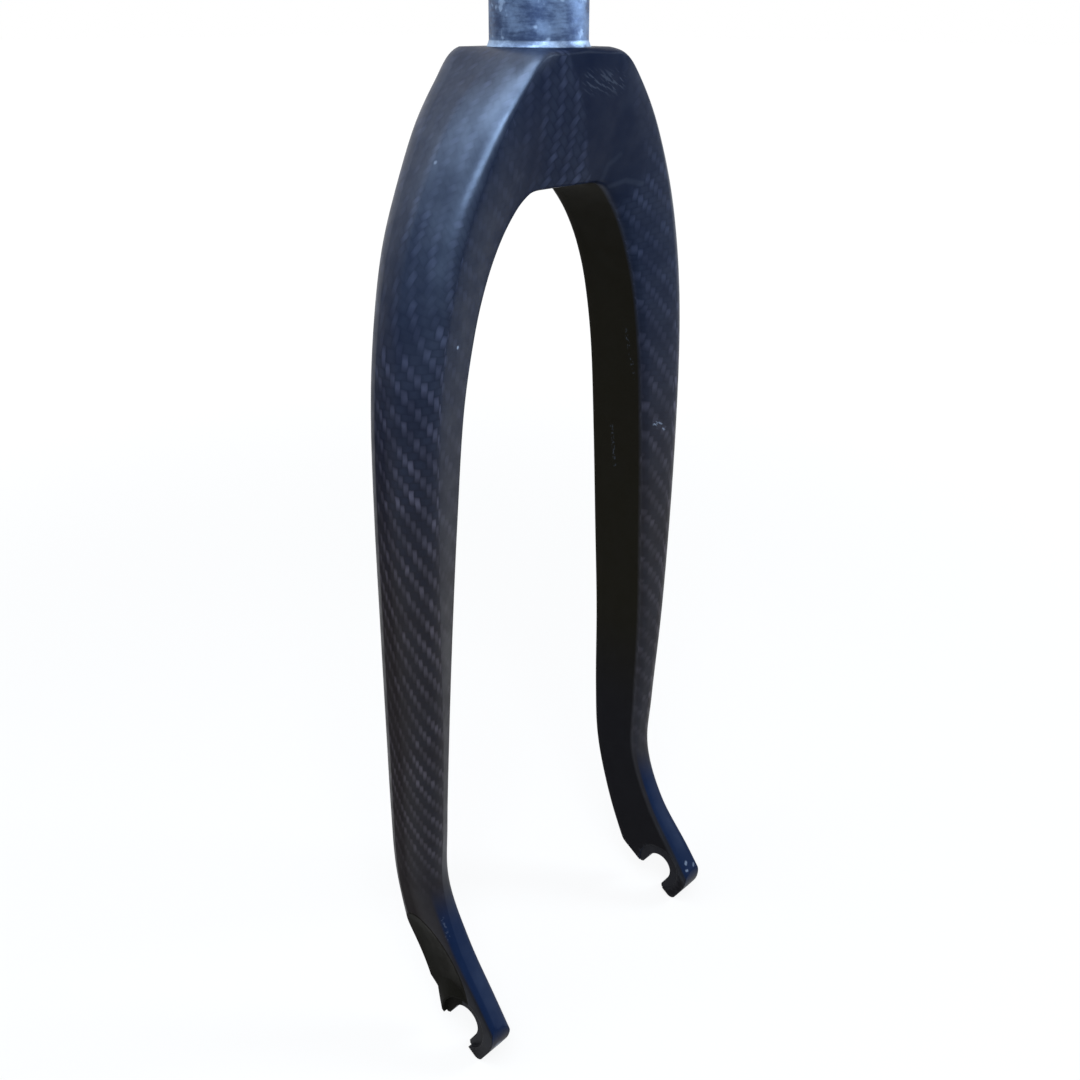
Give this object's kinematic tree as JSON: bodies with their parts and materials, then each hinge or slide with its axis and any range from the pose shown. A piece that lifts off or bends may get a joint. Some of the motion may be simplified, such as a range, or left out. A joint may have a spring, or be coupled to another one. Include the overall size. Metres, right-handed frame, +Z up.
{
  "type": "bicycle fork",
  "caption": "Rigid bicycle fork: moulded carbon crown and curved legs with open axle slots, and a straight aluminium steerer tube.",
  "frame": {"origin": "middle of the crown seat, on the steerer axis", "axes": "+Z up the steerer, -Y to the front of the fork, X across it"},
  "size_m": [0.1298, 0.0514, 0.5129],
  "materials": {
    "carbon": "satin clear coat over twill carbon weave, worn",
    "steerer": "raw, mottled and finely scratched"
  },
  "bodies": {
    "root": {"fork_body": "carbon", "steerer_tube": "steerer"}
  },
  "joints": []
}
